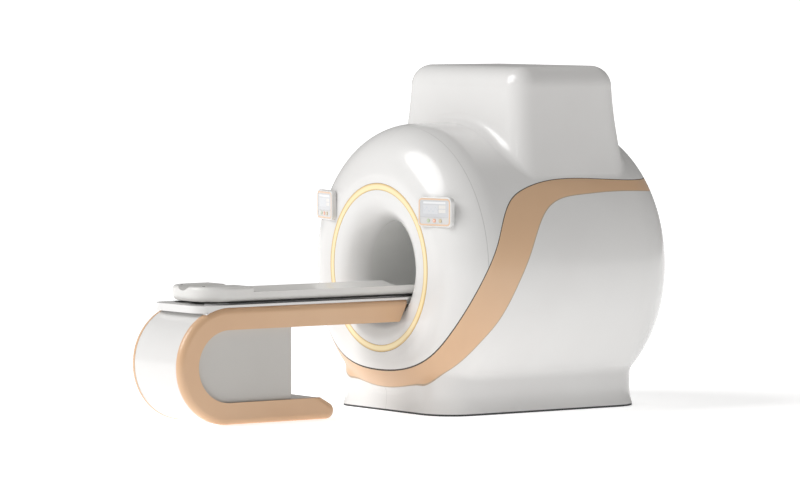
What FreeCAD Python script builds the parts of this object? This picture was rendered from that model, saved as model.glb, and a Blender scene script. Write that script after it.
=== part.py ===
import FreeCAD, Part
import math
import os

import Sketcher

# A small-animal MRI scanner: a round magnet gantry on a plinth, and a C-shaped patient table whose
# tray slides through the bore.  Millimetres.  The origin is on the floor, plumb under the centre of
# the bore; +Y runs along the bore from the table to the rear, +X is to the right, +Z is up.

Vector = FreeCAD.Vector
doc = FreeCAD.newDocument("small_animal_mri_scanner")

# ------------------------------------------------------------------------------------------------
# Driving dimensions
# ------------------------------------------------------------------------------------------------
DRIVING = {
    # gantry covers
    "barrel_radius": 860,
    "barrel_length": 1680,
    "barrel_clearance": 5,
    "front_corner": 300,
    "rear_corner": 330,
    "cover_wall": 8,
    "front_seam": 200,
    "seal_width": 4,
    # plinth and base plate
    "toe_inset": 260,
    "toe_front": 50,
    "toe_rear": 100,
    "toe_corner": 215,
    "waist_inset": 20,
    "flare_height": 120,
    "plinth_blend": 75,
    "base_thickness": 12,
    "base_lap": 6,
    # turret
    "turret_rise": 345,
    "turret_share": 0.69,
    "turret_front": 597,
    "turret_rear": 303,
    "turret_corner": 135,
    "turret_round": 128,
    "turret_flare": 82,
    "turret_taper": 8,
    "turret_blend": 70,
    # bore, funnels and light ring
    "bore_radius": 280,
    "liner_wall": 6,
    "funnel_radius": 155,
    "ring_margin": 31,
    "ring_width": 40,
    "ring_depth": 8,
    "carrier_lap": 12,
    "carrier_depth": 14,
    "rear_rim": 14,
    "rear_panel_width": 71,
    "inlet_radius": 12,
    "inlet_collar": 5,
    "joint_gap": 0.5,
    "running_gap": 0.3,
    # magnet
    "magnet_space": 80,
    "magnet_end_space": 280,
    "gradient_wall": 95,
    "rf_wall": 8,
    "vessel_wall": 12,
    "cold_mass_wall": 150,
    "cold_mass_space": 70,
    "strut_radius": 18,
    "strut_lap": 10,
    "cradle_inset": 120,
    "cradle_end_inset": 110,
    "cradle_height": 210,
    "saddle_arch": 45,
    "neck_rise": 90,
    "cold_head_radius": 95,
    "cold_head_step": 110,
    "anchor_margin": 50,
    "anchor_inset": 40,
    "washer_radius": 22,
    "washer_thickness": 4,
    "nut_radius": 13,
    "nut_height": 17,
    # control panels
    "panel_width": 262,
    "panel_height": 180,
    "panel_depth": 30,
    "panel_round": 7,
    "panel_corner": 34,
    "panel_offset": 14,
    "panel_rise": 0.413,
    "panel_yaw": 14,
    "panel_back": 0.5,
    "foot_inset": 28,
    "foot_depth": 140,
    "bezel_margin": 9,
    "bezel_width": 13,
    "bezel_depth": 4,
    "glass_depth": 5,
    "screen_height": 100,
    "key_radius": 11,
    "key_pitch": 46,
    "key_margin": 6,
    "key_travel": 2,
    "key_height": 5,
    # table
    "table_margin": 30,
    "table_drop": 179,
    "arm_thickness": 130,
    "turn_reach": 1245,
    "beam_entry": 30,
    "beam_slant": 64,
    "foot_reach": 497,
    "nose_round": 50,
    "nose_lean": 60,
    "band_width": 46,
    "band_round": 38,
    "band_proud": 2,
    "shell_wall": 12,
    "foot_cover_wall": 10,
    "cabinet_reach": 800,
    "cabinet_recess": 20,
    "cabinet_wall": 10,
    "deck_lap": 14,
    "deck_thickness": 43,
    "deck_overhang": 212,
    "deck_corner": 110,
    "deck_shelf": 20,
    "cheek_drop": 45,
    "slot_half_width": 14,
    "slot_margin": 5,
    # tray, rails and bridge
    "tray_clearance": 12,
    "tray_lift": 15,
    "tray_thickness": 55,
    "tray_setback": 60,
    "tray_entry": 190,
    "tray_dish": 28,
    "tray_rim": 22,
    "tray_bilge": 34,
    "tray_nose_flat": 50,
    "hump_height": 34,
    "hump_length": 150,
    "hump_notch": 80,
    "hump_round": 20,
    "notch_floor": 8,
    "strap_eye": 7,
    "strap_inset": 70,
    "rail_inset": 45,
    "rail_width": 26,
    "rail_height": 7,
    "carriage_clearance": 9,
    "carriage_inset": 20,
    "bridge_side": 11,
    "bridge_wall": 34,
    "bridge_top": 12,
    # belt drive
    "pulley_radius": 26,
    "pulley_width": 30,
    "pulley_lift": 28,
    "pulley_side": 14,
    "shaft_radius": 7,
    "belt_thickness": 3,
    "belt_margin": 3,
    "bearing_wall": 12,
    "bearing_half_length": 22,
    "bearing_rise": 18,
    "frame_wall": 4,
    "drive_inset": 40,
    "idler_inset": 47,
    "motor_length": 120,
    "motor_half_width": 34,
    "motor_height": 78,
    "clamp_length": 50,
    "clamp_start": 12,
    "clamp_stop": 8,
    "clamp_half_width": 11,
    "clamp_thickness": 14,
    "web_half_width": 6,
}

sheet = doc.addObject("Spreadsheet::Sheet", "sizes")
for row, (alias, number) in enumerate(DRIVING.items(), start=1):
    sheet.set(f"A{row}", alias.replace("_", " "))
    sheet.set(f"B{row}", str(number))
    sheet.setAlias(f"B{row}", alias)
doc.recompute()


class Size:
    """A length that carries its number and the spreadsheet formula that gives it."""

    def __init__(self, number, formula):
        self.number = float(number)
        self.formula = formula

    @staticmethod
    def of(thing):
        return thing if isinstance(thing, Size) else Size(thing, repr(float(thing)))

    def __add__(self, other):
        other = Size.of(other)
        return Size(self.number + other.number, f"({self.formula} + {other.formula})")

    def __sub__(self, other):
        other = Size.of(other)
        return Size(self.number - other.number, f"({self.formula} - {other.formula})")

    def __mul__(self, other):
        other = Size.of(other)
        return Size(self.number * other.number, f"({self.formula} * {other.formula})")

    def __truediv__(self, other):
        other = Size.of(other)
        return Size(self.number / other.number, f"({self.formula} / {other.formula})")

    def __radd__(self, other):
        return Size.of(other) + self

    def __rsub__(self, other):
        return Size.of(other) - self

    def __rmul__(self, other):
        return Size.of(other) * self

    def __neg__(self):
        return Size(-self.number, f"(0 - {self.formula})")


def root(size):
    return Size(math.sqrt(size.number), f"sqrt({size.formula})")


class Sheet:
    """Reads each aliased cell of the spreadsheet as a Size."""

    def __getattr__(self, alias):
        return Size(getattr(sheet, alias), f"sizes.{alias}")


d = Sheet()

# Places that several pieces share.
FRONT = -d.barrel_length / 2
REAR = d.barrel_length / 2
AXIS = d.barrel_radius + d.barrel_clearance
TOE_HALF = d.barrel_radius - d.toe_inset
MAGNET_R = d.barrel_radius - d.magnet_space
TABLE_TOP = AXIS - d.table_drop
DECK_TOP = TABLE_TOP + d.deck_lap
RAIL_TOP = DECK_TOP + d.rail_height
GLIDE = RAIL_TOP + d.running_gap
TRAY_LOW = DECK_TOP + d.tray_lift


def bore_chord(height):
    """Half the width of the bore at a height above the floor."""
    drop = AXIS - height
    return root(d.bore_radius * d.bore_radius - drop * drop)


HALF_TRAY = bore_chord(TRAY_LOW + d.tray_thickness / 2) - d.tray_clearance
HALF_TABLE = HALF_TRAY + d.table_margin
TRAY_ROUND = HALF_TRAY - d.tray_nose_flat
HALF_BRIDGE = bore_chord(DECK_TOP) - d.bridge_side
HALF_CARRIAGE = bore_chord(GLIDE) - d.carriage_clearance
RAIL_X = HALF_BRIDGE - d.rail_inset
OUTER_R = TABLE_TOP / 2
INNER_R = OUTER_R - d.arm_thickness
TURN = FRONT - d.turn_reach
BEAM_END = FRONT + d.beam_entry
BEAM_END_LOW = BEAM_END - d.beam_slant
BEAM_UNDER = TABLE_TOP - d.arm_thickness
INSIDE_BANDS = HALF_TABLE - d.band_width


# ------------------------------------------------------------------------------------------------
# Building helpers
# ------------------------------------------------------------------------------------------------
pieces = []


def bind(item, name, size):
    item.setExpression(name, Size.of(size).formula)


def turn_of(axis):
    if axis == "x":
        return FreeCAD.Rotation(Vector(0, 1, 0), 90)
    if axis == "y":
        return FreeCAD.Rotation(Vector(1, 0, 0), -90)
    return FreeCAD.Rotation()


def place(item, point, rotation=None):
    item.Placement = FreeCAD.Placement(Vector(), rotation or FreeCAD.Rotation())
    for name, size in zip("xyz", point):
        bind(item, f"Placement.Base.{name}", size)
    return item


def box(label, across, along, upward):
    """A block between two values on each axis."""
    item = doc.addObject("Part::Box", label)
    bind(item, "Length", across[1] - across[0])
    bind(item, "Width", along[1] - along[0])
    bind(item, "Height", upward[1] - upward[0])
    return place(item, (across[0], along[0], upward[0]))


def rod(label, radius, axis, start, length):
    """A round bar from its start point along one axis."""
    item = doc.addObject("Part::Cylinder", label)
    bind(item, "Radius", radius)
    bind(item, "Height", length)
    return place(item, start, turn_of(axis))


def cut(label, base, *tools):
    item = doc.addObject("Part::Cut", label)
    item.Base = base
    item.Tool = tools[0] if len(tools) == 1 else fuse(label + "_tools", *tools)
    return item


def fuse(label, *parts):
    item = doc.addObject("Part::MultiFuse", label)
    item.Shapes = list(parts)
    return item


def common(label, *parts):
    item = doc.addObject("Part::MultiCommon", label)
    item.Shapes = list(parts)
    return item


def group(label, parts):
    item = doc.addObject("Part::Compound", label)
    item.Links = list(parts)
    return item


def piece(item, name=None):
    """Register a finished sub-part; its label is its node name."""
    if name:
        item.Label = name
    pieces.append(item)
    return item


def sketch_in(body, plane, offset=(0, 0, 0)):
    sketch = body.newObject("Sketcher::SketchObject", body.Name + "_sketch")
    origin_plane = next(f for f in body.Origin.OriginFeatures if f.Role == plane)
    sketch.AttachmentSupport = [(origin_plane, "")]
    sketch.MapMode = "FlatFace"
    for name, size in zip("xyz", offset):
        if isinstance(size, Size):
            bind(sketch, f"AttachmentOffset.Base.{name}", size)
    return sketch


def arc_sweep(start, end, radius):
    """Centre and angles of the short arc between two points; a positive radius turns left."""
    half = (end - start) * 0.5
    rise = math.sqrt(max(radius * radius - half.dot(half), 0))
    toward = Vector(-half.y, half.x, 0).normalize() * math.copysign(rise, radius)
    centre = start + half + toward
    first = math.atan2(start.y - centre.y, start.x - centre.x)
    last = math.atan2(end.y - centre.y, end.x - centre.x)
    return centre, (first, last) if radius > 0 else (last, first)


def draw(sketch, corners):
    """A closed outline.  A corner is (x, y), or (x, y, radius) where an arc leaves it, turning left
    if the radius is positive; every corner and radius is bound to the spreadsheet."""
    count = len(corners)
    points = [Vector(Size.of(c[0]).number, Size.of(c[1]).number, 0) for c in corners]
    ends = []
    for i, corner in enumerate(corners):
        start, end = points[i], points[(i + 1) % count]
        if len(corner) == 2:
            index = sketch.addGeometry(Part.LineSegment(start, end), False)
            ends.append((index, 1, 2))
            continue
        turn = Size.of(corner[2])
        radius = turn if turn.number > 0 else -turn
        centre, sweep = arc_sweep(start, end, turn.number)
        circle = Part.Circle(centre, Vector(0, 0, 1), radius.number)
        index = sketch.addGeometry(Part.ArcOfCircle(circle, *sweep), False)
        ends.append((index, 1, 2) if turn.number > 0 else (index, 2, 1))
        number = sketch.addConstraint(Sketcher.Constraint("Radius", index, radius.number))
        bind(sketch, f"Constraints[{number}]", radius)
    for i, corner in enumerate(corners):
        index, start, end = ends[i]
        after = ends[(i + 1) % count]
        sketch.addConstraint(Sketcher.Constraint("Coincident", index, end, after[0], after[1]))
        for kind, size in zip(("DistanceX", "DistanceY"), corner[:2]):
            size = Size.of(size)
            number = sketch.addConstraint(
                Sketcher.Constraint(kind, -1, 1, index, start, size.number))
            bind(sketch, f"Constraints[{number}]", size)
    return sketch


def new_body(name):
    return doc.addObject("PartDesign::Body", name)


def turned(name, corners):
    """A ring about the bore axis; corners are (along the bore, radius)."""
    body = new_body(name)
    sketch = draw(sketch_in(body, "YZ_Plane", (0, AXIS, 0)), corners)
    spin = body.newObject("PartDesign::Revolution", name + "_spin")
    spin.Profile = sketch
    spin.ReferenceAxis = (sketch, ["H_Axis"])
    spin.Angle = 360
    return body


def tube(name, inner, outer, start, end):
    return turned(name, [(start, inner), (end, inner), (end, outer), (start, outer)])


def padded(name, plane, corners, start, length):
    """An outline drawn in an origin plane moved by start along its normal, padded by length."""
    body = new_body(name)
    sketch = draw(sketch_in(body, plane, (0, 0, start)), corners)
    pad = body.newObject("PartDesign::Pad", name + "_pad")
    pad.Profile = sketch
    bind(pad, "Length", length)
    return body, pad


def rounded_box_outline(half_x, low, high, radius):
    """A rectangle with four round corners, between two heights and two half widths."""
    left, right = -half_x, half_x
    return [
        (left + radius, low),
        (right - radius, low, radius),
        (right, low + radius),
        (right, high - radius, radius),
        (right - radius, high),
        (left + radius, high, radius),
        (left, high - radius),
        (left, low + radius, radius),
    ]


def edges_where(shape, test):
    """Names of the edges whose sampled points all pass a test."""
    return [f"Edge{i}" for i, edge in enumerate(shape.Edges, start=1)
            if all(test(point) for point in edge.discretize(7))]


def rounded(body, feature, radius, test):
    """Fillet the edges of a PartDesign feature that lie where the test says."""
    doc.recompute()
    fillet = body.newObject("PartDesign::Fillet", body.Name + "_round")
    fillet.Base = (feature, edges_where(feature.Shape, test))
    bind(fillet, "Radius", radius)
    body.Tip = fillet
    return body


def shaped(name, shape):
    """A sub-part whose free form is made with Part's own functions."""
    item = doc.addObject("Part::Feature", name)
    item.Shape = shape
    item.Placement = FreeCAD.Placement()
    return item


def near(value, target, slack=0.5):
    return abs(value - target) < slack


# ------------------------------------------------------------------------------------------------
# Gantry form: a barrel about the bore axis, a waisted plinth and a turret, blended together
# ------------------------------------------------------------------------------------------------
front, rear, axis = FRONT.number, REAR.number, AXIS.number


def barrel(inset):
    radius = sheet.barrel_radius - inset
    start, end = front + inset, rear - inset
    nose, tail = sheet.front_corner - inset, sheet.rear_corner - inset
    lean = math.sqrt(0.5)
    top = axis + radius
    corners = [
        Vector(0, start, axis),
        Vector(0, start, top - nose),
        Vector(0, start + nose, top),
        Vector(0, end - tail, top),
        Vector(0, end, top - tail),
        Vector(0, end, axis),
    ]
    nose_mid = Vector(0, start + nose * (1 - lean), top - nose * (1 - lean))
    tail_mid = Vector(0, end - tail * (1 - lean), top - tail * (1 - lean))
    outline = Part.Wire([
        Part.makeLine(corners[0], corners[1]),
        Part.Arc(corners[1], nose_mid, corners[2]).toShape(),
        Part.makeLine(corners[2], corners[3]),
        Part.Arc(corners[3], tail_mid, corners[4]).toShape(),
        Part.makeLine(corners[4], corners[5]),
        Part.makeLine(corners[5], corners[0]),
    ])
    return Part.Face(outline).revolve(Vector(0, 0, axis), Vector(0, 1, 0), 360)


def section(half_width, start, end, radius, height):
    """A level rectangle with round corners, as one wire."""
    reach = radius * (1 - math.sqrt(0.5))
    edges = []
    corners = [(1, start), (1, end), (-1, end), (-1, start)]
    spots = []
    for side, along in corners:
        inward = 1 if along == start else -1
        on_end = Vector(side * (half_width - radius), along, height)
        on_side = Vector(side * half_width, along + inward * radius, height)
        middle = Vector(side * (half_width - reach), along + inward * reach, height)
        first_end = side * inward > 0
        spots.append((on_end, middle, on_side) if first_end else (on_side, middle, on_end))
    for i, (first, middle, last) in enumerate(spots):
        edges.append(Part.Arc(first, middle, last).toShape())
        edges.append(Part.makeLine(last, spots[(i + 1) % 4][0]))
    return Part.Wire(edges)


def plinth(inset):
    """Flared out at the toe, straight above the waist, and ending inside the barrel."""
    flare = sheet.flare_height
    top = 0.5 * axis
    sections = []
    for share in (0, 0.25, 0.55, 1, 2, top / flare):
        draw_in = sheet.waist_inset * (1 - max(1 - share, 0) ** 2)
        sections.append(section(
            TOE_HALF.number - draw_in - inset,
            front + sheet.toe_front + draw_in * 0.6 + inset,
            rear - sheet.toe_rear - draw_in * 0.6 - inset,
            sheet.toe_corner - inset,
            share * flare))
    return Part.makeLoft(sections, True, False)


def turret(inset):
    """A hood that widens downward into the barrel, with a large round round its top."""
    top = axis + sheet.barrel_radius + sheet.turret_rise - inset
    foot = axis + 0.6 * sheet.barrel_radius
    sections = []
    for share in (0, 0.3, 0.6, 0.8, 1):
        flare = sheet.turret_flare * (1 - share) ** 2 - sheet.turret_taper * share
        sections.append(section(
            sheet.turret_share * sheet.barrel_radius + flare - inset,
            front + sheet.turret_front - 0.6 * flare + inset,
            rear - sheet.turret_rear + 0.6 * flare - inset,
            sheet.turret_corner - inset,
            foot + share * (top - foot)))
    hood = Part.makeLoft(sections, True, False)
    rim = [e for e in hood.Edges if near(e.BoundBox.ZMin, top, 0.01)]
    return hood.makeFillet(sheet.turret_round - inset, rim)


def on_barrel(point):
    radius = math.hypot(point.x, point.z - axis)
    nose, tail = sheet.front_corner, sheet.rear_corner
    if point.y < front + nose:
        core = sheet.barrel_radius - nose
        if radius < core:
            return near(point.y, front)
        return near(math.hypot(radius - core, point.y - front - nose), nose)
    if point.y > rear - tail:
        core = sheet.barrel_radius - tail
        if radius < core:
            return near(point.y, rear)
        return near(math.hypot(radius - core, point.y - rear + tail), tail)
    return near(radius, sheet.barrel_radius)


def meeting_edges(shape, above):
    """Edges where the plinth (or, above the axis, the turret) meets the barrel."""
    rings = (front + sheet.front_corner, rear - sheet.rear_corner)
    found = []
    for edge in shape.Edges:
        points = edge.discretize(7)
        if not all(on_barrel(p) and (p.z > axis) == above for p in points):
            continue
        own_ring = any(all(near(p.y, ring) for p in points) for ring in rings)
        own_seam = all(near(p.x, 0) for p in points)
        if not own_ring and not own_seam:
            found.append(edge)
    return found


def gantry_form(inset):
    return barrel(inset).fuse([plinth(inset), turret(inset)])


outer_form = gantry_form(0)
outer_form = outer_form.makeFillet(sheet.plinth_blend, meeting_edges(outer_form, False))
outer_form = outer_form.makeFillet(sheet.turret_blend, meeting_edges(outer_form, True))
cover_shell = outer_form.cut(gantry_form(sheet.cover_wall))

# Openings in the covers: the light ring's at the front, the service panel's at the rear, and the
# step down to the base plate.
LIP = d.bore_radius + d.funnel_radius
RING_IN = LIP + d.ring_margin
RING_OUT = RING_IN + d.ring_width
RING_HOLE = RING_OUT + 2
REAR_RIM = LIP + d.rear_rim
REAR_PANEL_R = REAR_RIM + d.rear_panel_width
reach = 2 * sheet.barrel_radius
across_y = Vector(0, 1, 0)
openings = [
    Part.makeCylinder(RING_HOLE.number, sheet.front_corner,
                      Vector(0, front - sheet.front_corner / 2, axis), across_y),
    Part.makeCylinder(REAR_PANEL_R.number, sheet.rear_corner,
                      Vector(0, rear - sheet.rear_corner / 2, axis), across_y),
    Part.makeBox(2 * reach, 2 * reach, reach + sheet.base_thickness, Vector(-reach, -reach, -reach)),
]
cover_shell = cover_shell.cut(openings)

# The accent band sweeps from the front of the plinth up and along each flank.  Its two edges are
# curves in side view, as shares of the barrel's length from the front and of its radius from the
# axis.
UPPER_EDGE = [(-0.012, -0.773), (0.010, -0.665), (0.034, -0.445), (0.104, -0.028), (0.159, 0.198),
              (0.208, 0.385), (0.263, 0.502), (0.335, 0.567), (0.438, 0.612), (0.601, 0.624),
              (1.036, 0.643)]
LOWER_EDGE = [(0.003, -0.905), (0.026, -0.831), (0.042, -0.772), (0.064, -0.711), (0.087, -0.634),
              (0.127, -0.482), (0.179, -0.323), (0.236, -0.105), (0.292, 0.102), (0.356, 0.324),
              (0.405, 0.426), (0.463, 0.484), (0.572, 0.516), (0.736, 0.531), (1.036, 0.506)]


def below_edge(shares, drop):
    """Everything behind and below one edge of the band, moved down and back by drop."""
    points = [Vector(-reach, front + along * sheet.barrel_length + drop,
                     axis + up * sheet.barrel_radius - drop) for along, up in shares]
    curve = Part.BSplineCurve()
    curve.interpolate(points)
    low_rear = Vector(-reach, points[-1].y, -reach)
    low_front = Vector(-reach, points[0].y, -reach)
    outline = Part.Wire([
        curve.toShape(),
        Part.makeLine(points[-1], low_rear),
        Part.makeLine(low_rear, low_front),
        Part.makeLine(low_front, points[0]),
    ])
    return Part.Face(outline).extrude(Vector(2 * reach, 0, 0))


def slab(start, end):
    """All the space between two values of Y."""
    return Part.makeBox(2 * reach, end - start, 2 * reach, Vector(-reach, start, -reach / 2))


def side_half(side, gap):
    start = gap if side > 0 else -reach
    return Part.makeBox(reach - gap, 2 * reach, 2 * reach, Vector(start, -reach, -reach / 2))


seal = sheet.seal_width
seam = front + sheet.front_seam
above_band = cover_shell.cut(below_edge(UPPER_EDGE, 0))
below_upper = cover_shell.common(below_edge(UPPER_EDGE, 0))
below_upper_seal = below_upper.common(below_edge(UPPER_EDGE, seal))
below_band = below_upper_seal.common(below_edge(LOWER_EDGE, 0))
flanks = below_band.common(below_edge(LOWER_EDGE, seal))

covers = {
    "front_cover": above_band.common(slab(-reach, seam)),
    "front_cover_seal": above_band.common(slab(seam, seam + seal)),
    "top_cover": above_band.common(slab(seam + seal, reach)),
    "band_upper_seal": below_upper.cut(below_edge(UPPER_EDGE, seal)),
    "accent_band": below_upper_seal.cut(below_edge(LOWER_EDGE, 0)),
    "band_lower_seal": below_band.cut(below_edge(LOWER_EDGE, seal)),
    "side_cover_right": flanks.common(side_half(1, seal / 2)),
    "side_cover_left": flanks.common(side_half(-1, seal / 2)),
    "centre_seals": flanks.cut([side_half(1, seal / 2), side_half(-1, seal / 2)]),
}
for name, shape in covers.items():
    piece(shaped(name, shape.removeSplitter()))

# The whole outer form, kept in the document for the panel housings to be cut to.
gantry_surface = shaped("gantry_surface", outer_form)

# ------------------------------------------------------------------------------------------------
# Bore: front and rear funnels, liner, light ring and its carrier, rear service panel
# ------------------------------------------------------------------------------------------------
LINER_OUT = d.bore_radius + d.liner_wall
FLANGE = RING_IN - 1
FRONT_FACE = FRONT + d.cover_wall


def funnel(name, face, toward, rim):
    """A round-lipped funnel from a face of the gantry into the bore."""
    throat = face + toward * d.funnel_radius
    back = face + toward * d.liner_wall
    wall_radius = d.funnel_radius - d.liner_wall
    return turned(name, [
        (face, rim),
        (face, LIP, toward * d.funnel_radius),
        (throat, d.bore_radius),
        (throat, LINER_OUT, -toward * wall_radius),
        (back, LIP),
        (back, rim),
    ])


piece(funnel("front_funnel", FRONT, 1, FLANGE))
piece(funnel("rear_funnel", REAR, -1, REAR_RIM))
THROAT = FRONT + d.funnel_radius
piece(tube("bore_liner", d.bore_radius, LINER_OUT, THROAT, REAR - d.funnel_radius))
piece(tube("rear_panel_backing", LIP - d.liner_wall, REAR_PANEL_R + d.carrier_lap,
           REAR - d.cover_wall - d.frame_wall, REAR - d.cover_wall))
rear_ring = tube("rear_ring", REAR_RIM + d.joint_gap, REAR_PANEL_R - d.joint_gap,
                 REAR - d.cover_wall, REAR)

# Three capped cable inlets sit low on the rear panel, on its middle circle.
inlets = []
inlet_holes = []
INLET_CIRCLE = (REAR_RIM + REAR_PANEL_R) / 2
for angle in (-102, -90, -78):
    spot_x = INLET_CIRCLE * math.cos(math.radians(angle))
    spot_z = AXIS + INLET_CIRCLE * math.sin(math.radians(angle))
    stem = rod("inlet_stem", d.inlet_radius, "y", (spot_x, REAR - d.cover_wall, spot_z), d.cover_wall + 2)
    collar = rod("inlet_collar", d.inlet_radius + d.inlet_collar, "y", (spot_x, REAR, spot_z),
                 2 * d.inlet_collar)
    cap = rod("inlet_cap", d.inlet_radius, "y", (spot_x, REAR + d.inlet_collar, spot_z), 4 * d.inlet_collar)
    inlets.append(fuse("inlet", stem, collar, cap))
    inlet_holes.append(rod("inlet_hole", d.inlet_radius + d.running_gap, "y",
                           (spot_x, REAR - d.cover_wall - 1, spot_z), d.cover_wall + 2))
piece(cut("rear_panel", rear_ring, *inlet_holes))
piece(group("cable_inlets", inlets))
piece(tube("light_ring", RING_IN, RING_OUT, FRONT_FACE - d.ring_depth - 1, FRONT_FACE))
piece(tube("light_ring_carrier", LIP, RING_HOLE + d.carrier_lap,
           FRONT_FACE, FRONT_FACE + d.carrier_depth))

# ------------------------------------------------------------------------------------------------
# Magnet: transmit coil, gradient coil and hollow vacuum vessel with its cold mass, in one nest
# ------------------------------------------------------------------------------------------------
HALF_MAGNET = REAR - d.magnet_end_space
RF_IN = LINER_OUT + d.running_gap
RF_OUT = RF_IN + d.rf_wall
GRADIENT_IN = RF_OUT + d.running_gap
GRADIENT_OUT = GRADIENT_IN + d.gradient_wall
VESSEL_IN = GRADIENT_OUT + d.running_gap
piece(tube("transmit_coil", RF_IN, RF_OUT, -HALF_MAGNET, HALF_MAGNET))
piece(tube("gradient_coil", GRADIENT_IN, GRADIENT_OUT, -HALF_MAGNET, HALF_MAGNET))
vessel_outside = tube("vessel_outside", VESSEL_IN, MAGNET_R, -HALF_MAGNET, HALF_MAGNET)
CAVITY_IN = VESSEL_IN + d.vessel_wall
CAVITY_OUT = MAGNET_R - d.vessel_wall
CAVITY_END = HALF_MAGNET - 3 * d.vessel_wall
vessel_cavity = tube("vessel_cavity", CAVITY_IN, CAVITY_OUT, -CAVITY_END, CAVITY_END)
piece(cut("vacuum_vessel", vessel_outside, vessel_cavity))

COLD_OUT = CAVITY_OUT - d.cold_mass_space
COLD_END = CAVITY_END - d.cold_mass_space
cold_ring = tube("cold_ring", COLD_OUT - d.cold_mass_wall, COLD_OUT, -COLD_END, COLD_END)
struts = []
for number, (sx, sz) in enumerate([(1, 0), (-1, 0), (0, 1), (0, -1)], start=1):
    start = (sx * (COLD_OUT - d.strut_lap), Size.of(0), AXIS + sz * (COLD_OUT - d.strut_lap))
    strut = rod(f"cold_strut_{number}", d.strut_radius, "x" if sx else "z", start,
                CAVITY_OUT - d.joint_gap - COLD_OUT + d.strut_lap)
    if sx < 0 or sz < 0:
        bind(strut, "Placement.Base." + ("x" if sx else "z"),
             -(CAVITY_OUT - d.joint_gap) if sx else AXIS - (CAVITY_OUT - d.joint_gap))
    struts.append(strut)
piece(fuse("cold_mass", cold_ring, *struts))

# A saddle cradle carries the vessel on the base plate.
HALF_CRADLE = TOE_HALF - d.cradle_inset
CRADLE_END = HALF_MAGNET - d.cradle_end_inset
saddle_block = box("saddle_block", (-HALF_CRADLE, HALF_CRADLE),
                   (-CRADLE_END, CRADLE_END),
                   (d.base_thickness, d.base_thickness + d.cradle_height))
saddle_hollow = box("saddle_hollow", (-HALF_CRADLE * 0.45, HALF_CRADLE * 0.45),
                    (-CRADLE_END - 1, CRADLE_END + 1),
                    (d.base_thickness - 1, d.base_thickness + d.saddle_arch))
saddle_round = rod("saddle_round", MAGNET_R + d.running_gap, "y",
                   (Size.of(0), -CRADLE_END - 1, AXIS), 2 * CRADLE_END + 2)
piece(cut("magnet_cradle", saddle_block, saddle_hollow, saddle_round))

# The cold head stands on a turret neck on top of the vessel, inside the hood.
NECK_TOP = AXIS + MAGNET_R + d.neck_rise
NECK_Y = (d.turret_front - d.turret_rear) / 2
neck = rod("neck_stub", d.cold_head_radius * 1.5, "z", (Size.of(0), NECK_Y, AXIS), NECK_TOP - AXIS)
neck_clear = rod("neck_clear", MAGNET_R + d.running_gap, "y",
                 (Size.of(0), -HALF_MAGNET, AXIS), 2 * HALF_MAGNET)
piece(cut("service_neck", neck, neck_clear))
head_low = rod("head_low", d.cold_head_radius, "z", (Size.of(0), NECK_Y, NECK_TOP), d.cold_head_step)
head_high = rod("head_high", d.cold_head_radius * 0.6, "z", (Size.of(0), NECK_Y, NECK_TOP),
                2 * d.cold_head_step)
piece(fuse("cold_head", head_low, head_high))

# ------------------------------------------------------------------------------------------------
# Base plate, anchors and rear connections
# ------------------------------------------------------------------------------------------------
plate_corner = d.toe_corner - d.base_lap
base, _ = padded(
    "base_plate", "XY_Plane",
    rounded_box_outline(TOE_HALF - d.base_lap, FRONT + d.toe_front + d.base_lap,
                        REAR - d.toe_rear - d.base_lap, plate_corner),
    Size.of(0), d.base_thickness)
piece(base)

anchors = []
for sx in (-1, 1):
    for sy in (-1, 1):
        spot = (sx * (HALF_CRADLE + d.anchor_margin), sy * (CRADLE_END - d.anchor_inset), d.base_thickness)
        washer = rod("anchor_washer", d.washer_radius, "z", spot, d.washer_thickness)
        nut = rod("anchor_nut", d.nut_radius, "z", spot, d.washer_thickness + d.nut_height)
        anchors.append(fuse("anchor", washer, nut))
piece(group("anchor_bolts", anchors))

# ------------------------------------------------------------------------------------------------
# Control panels: housing cut to the cover, bezel, screen and three sprung keys on each side
# ------------------------------------------------------------------------------------------------
PANEL_X = d.barrel_radius - d.front_corner + d.panel_offset
PANEL_Z = AXIS + d.panel_rise * d.barrel_radius
PANEL_FRONT = d.panel_back
SCREEN_LOW = d.panel_height / 2 - d.bezel_margin - d.bezel_width - d.screen_height
KEY_Z = -d.panel_height / 2 + d.bezel_margin + d.bezel_width + d.key_radius + d.key_margin
POCKET = d.bezel_depth + d.glass_depth - 1


def panel_part(item, side):
    """Stand a piece that was drawn about the panel's own centre at its place on the gantry."""
    yaw = side * sheet.panel_yaw
    place(item, (side * PANEL_X, FRONT, PANEL_Z), FreeCAD.Rotation(Vector(0, 0, 1), yaw))
    return item


def face_block(name, half_w, half_h, corner, back, depth):
    """A block with round corners in the panel's own plane, from its back toward the front."""
    return padded(name, "XZ_Plane", rounded_box_outline(half_w, -half_h, half_h, corner), -back, depth)


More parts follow.
